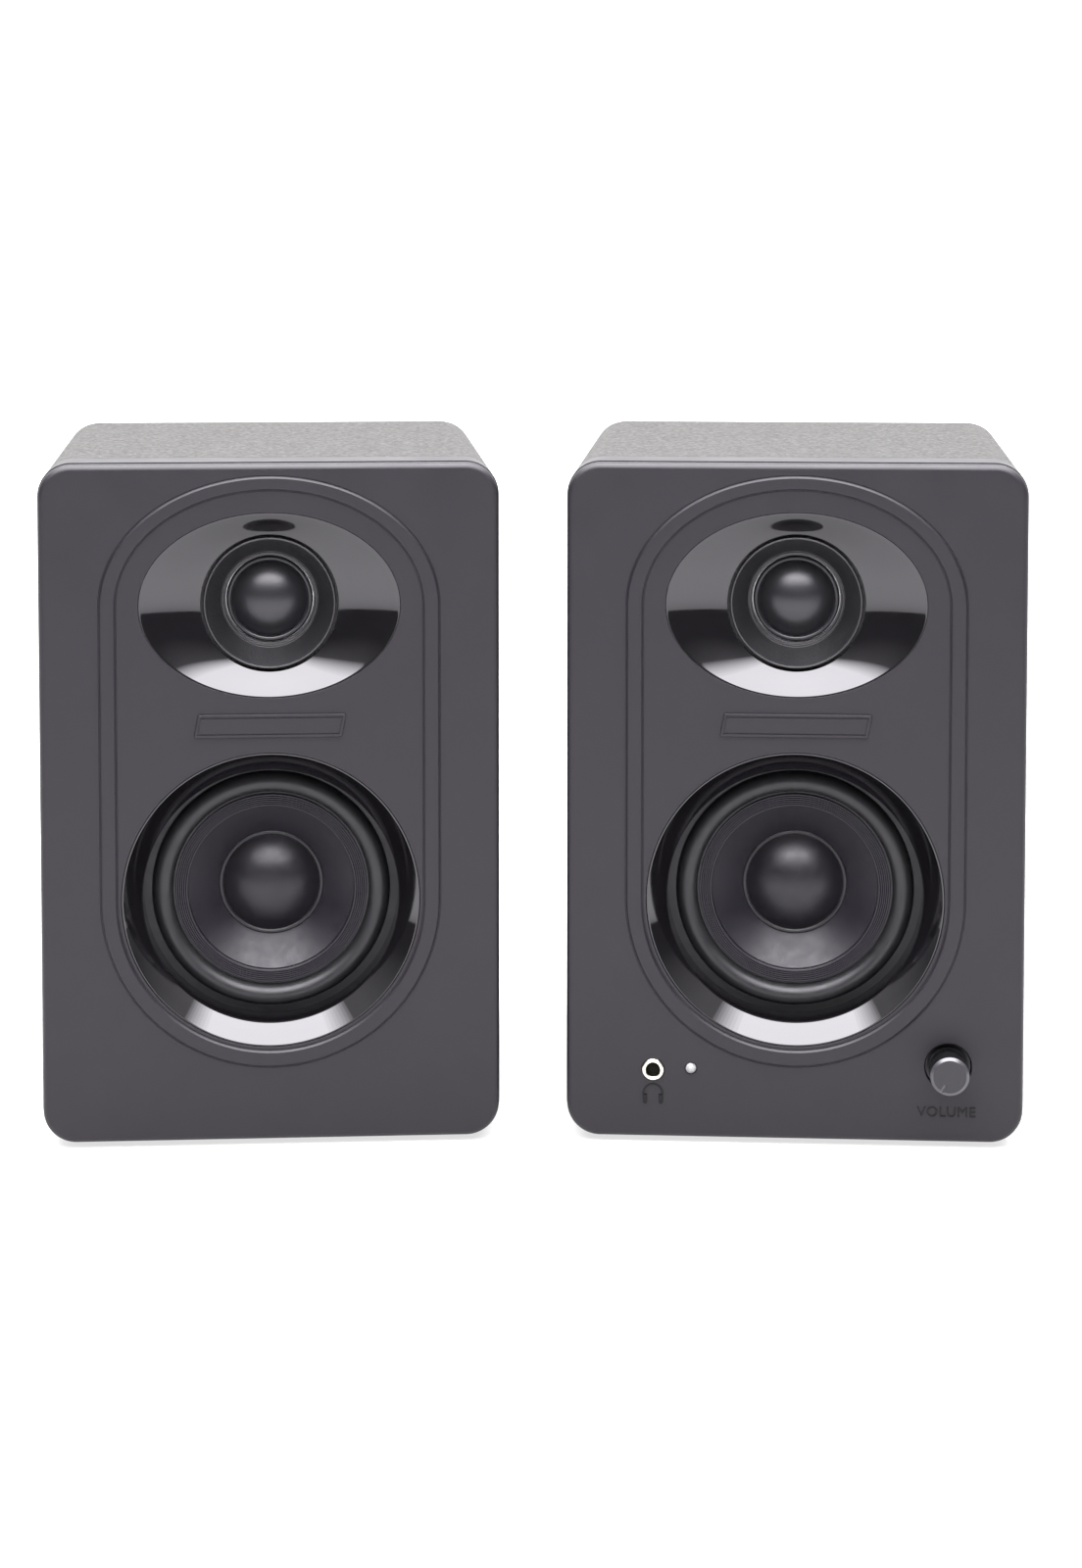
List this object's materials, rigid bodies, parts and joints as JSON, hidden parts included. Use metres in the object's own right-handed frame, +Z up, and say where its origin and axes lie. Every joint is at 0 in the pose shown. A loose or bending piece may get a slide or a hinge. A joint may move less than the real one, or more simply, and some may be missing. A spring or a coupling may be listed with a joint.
{
  "type": "pair of powered desktop speakers",
  "caption": "Compact powered two-way desktop speaker pair: rounded moulded fronts, oval tweeter waveguides, gloss-ringed woofers, rear ports, volume knob and headphone socket on one.",
  "frame": {"origin": "the middle of the pair's footprint, on the tabletop", "axes": "+Z up, +X to the right as seen from the front, across both speakers; the fronts face -Y"},
  "size_m": [0.3092, 0.1896, 0.201],
  "materials": {
    "satin_black_plastic": "satin, fine moulded grain",
    "gloss_black_plastic": "high gloss",
    "vinyl_wrapped_board": "black vinyl wrap with a fine grain",
    "painted_board": "matt black paint",
    "cone_material": "satin",
    "black_rubber": "matt",
    "black_cloth": "coated cloth",
    "spider_cloth": "resin-dipped cloth",
    "grey_wadding": "fluffy",
    "black_steel": "black paint",
    "zinc_steel": "zinc plated",
    "ferrite": "sintered",
    "copper_coil": "enamelled copper on brown paper",
    "black_aluminium": "black anodised",
    "bare_aluminium": "satin",
    "nickel": "plated",
    "red_plastic": "satin",
    "black_plastic": "satin",
    "frosted_lens": "frosted",
    "circuit_board": "solder mask",
    "capacitor_sleeve": "shrink sleeve",
    "transformer_steel": "varnished laminations"
  },
  "bodies": {
    "cabinets": {"left_baffle": "satin_black_plastic", "left_rear_panel": "painted_board", "left_cabinet_sleeve": "vinyl_wrapped_board", "left_tweeter_waveguide": "gloss_black_plastic", "left_tweeter_faceplate": "satin_black_plastic", "left_woofer_trim_ring": "gloss_black_plastic", "left_woofer_basket": "black_steel", "left_woofer_surround": "black_rubber", "left_woofer_spider": "spider_cloth", "right_baffle": "satin_black_plastic", "right_rear_panel": "painted_board", "right_cabinet_sleeve": "vinyl_wrapped_board", "right_tweeter_waveguide": "gloss_black_plastic", "right_tweeter_faceplate": "satin_black_plastic", "right_woofer_trim_ring": "gloss_black_plastic", "right_woofer_basket": "black_steel", "right_woofer_surround": "black_rubber", "right_woofer_spider": "spider_cloth", "terminal_cups": "black_plastic", "bass_ports": "satin_black_plastic", "rubber_feet": "black_rubber", "damping_wadding": "grey_wadding", "tweeter_motors": "zinc_steel", "woofer_pole_pieces": "zinc_steel", "woofer_magnets": "ferrite", "driver_screws": "black_steel", "rear_panel_screws": "black_steel", "crossover_boards": "circuit_board", "terminal_screws": "black_steel", "volume_control": "zinc_steel", "headphone_jack": "nickel", "power_lamp": "frosted_lens", "control_board": "circuit_board", "amplifier_plate": "black_aluminium", "amplifier_plate_screws": "black_steel", "amplifier_board": "circuit_board", "heat_sink": "bare_aluminium", "smoothing_capacitors": "capacitor_sleeve", "power_transformer": "transformer_steel", "phono_jacks": "nickel", "aux_input_jack": "black_plastic", "bass_switch_body": "zinc_steel", "power_switch_housing": "black_plastic", "mains_inlet": "black_plastic"},
    "left_cone": {"left_woofer_cone": "cone_material", "left_dust_cap": "cone_material", "left_voice_coil": "copper_coil"},
    "left_dome": {"left_tweeter_dome": "black_cloth"},
    "left_red_lever": {"left_terminal_lever_red": "red_plastic"},
    "left_black_lever": {"left_terminal_lever_black": "black_plastic"},
    "right_cone": {"right_woofer_cone": "cone_material", "right_dust_cap": "cone_material", "right_voice_coil": "copper_coil"},
    "right_dome": {"right_tweeter_dome": "black_cloth"},
    "right_red_lever": {"right_terminal_lever_red": "red_plastic"},
    "right_black_lever": {"right_terminal_lever_black": "black_plastic"},
    "knob": {"volume_knob": "gloss_black_plastic", "volume_shaft": "bare_aluminium"},
    "rocker": {"power_rocker": "black_plastic"},
    "slider": {"bass_switch_slider": "black_plastic"}
  },
  "joints": [
    {"name": "left_woofer_travel", "type": "slide", "parent": "cabinets", "child": "left_cone", "axis": [0.0722, -0.9974, 0], "range_m": [-0.0025, 0.0025], "stiffness_N_per_m": 900, "deforming": ["left_woofer_surround", "left_woofer_spider"]},
    {"name": "left_tweeter_travel", "type": "slide", "parent": "cabinets", "child": "left_dome", "axis": [0.0722, -0.9974, 0], "range_m": [-0.0003, 0.0003], "stiffness_N_per_m": 600},
    {"name": "left_red_lever_press", "type": "hinge", "parent": "cabinets", "child": "left_red_lever", "pos_m": [-0.0978, 0.08445, 0.0716], "axis": [0.9974, 0.0722, 0], "range_deg": [0, 35], "stiffness_Nm_per_rad": 0.03, "springref_deg": -11.46},
    {"name": "left_black_lever_press", "type": "hinge", "parent": "cabinets", "child": "left_black_lever", "pos_m": [-0.07885, 0.08582, 0.0716], "axis": [0.9974, 0.0722, 0], "range_deg": [0, 35], "stiffness_Nm_per_rad": 0.03, "springref_deg": -11.46},
    {"name": "right_woofer_travel", "type": "slide", "parent": "cabinets", "child": "right_cone", "axis": [-0.0722, -0.9974, 0], "range_m": [-0.0025, 0.0025], "stiffness_N_per_m": 900, "deforming": ["right_woofer_surround", "right_woofer_spider"]},
    {"name": "right_tweeter_travel", "type": "slide", "parent": "cabinets", "child": "right_dome", "axis": [-0.0722, -0.9974, 0], "range_m": [-0.0003, 0.0003], "stiffness_N_per_m": 600},
    {"name": "right_red_lever_press", "type": "hinge", "parent": "cabinets", "child": "right_red_lever", "pos_m": [0.10094, 0.08623, 0.0776], "axis": [0.9974, -0.0722, 0], "range_deg": [0, 35], "stiffness_Nm_per_rad": 0.03, "springref_deg": -11.46},
    {"name": "right_black_lever_press", "type": "hinge", "parent": "cabinets", "child": "right_black_lever", "pos_m": [0.11989, 0.08485, 0.0776], "axis": [0.9974, -0.0722, 0], "range_deg": [0, 35], "stiffness_Nm_per_rad": 0.03, "springref_deg": -11.46},
    {"name": "volume_turn", "type": "hinge", "parent": "cabinets", "child": "knob", "pos_m": [0.12113, -0.08287, 0.0244], "axis": [0.0722, 0.9974, 0], "range_deg": [0, 300]},
    {"name": "power_switch_tip", "type": "hinge", "parent": "cabinets", "child": "rocker", "pos_m": [0.06033, 0.08616, 0.034], "axis": [0.9974, -0.0722, 0], "range_deg": [0, 16]},
    {"name": "bass_switch_slide", "type": "slide", "parent": "cabinets", "child": "slider", "axis": [-0.9974, 0.0722, 0], "range_m": [0, 0.003]}
  ]
}
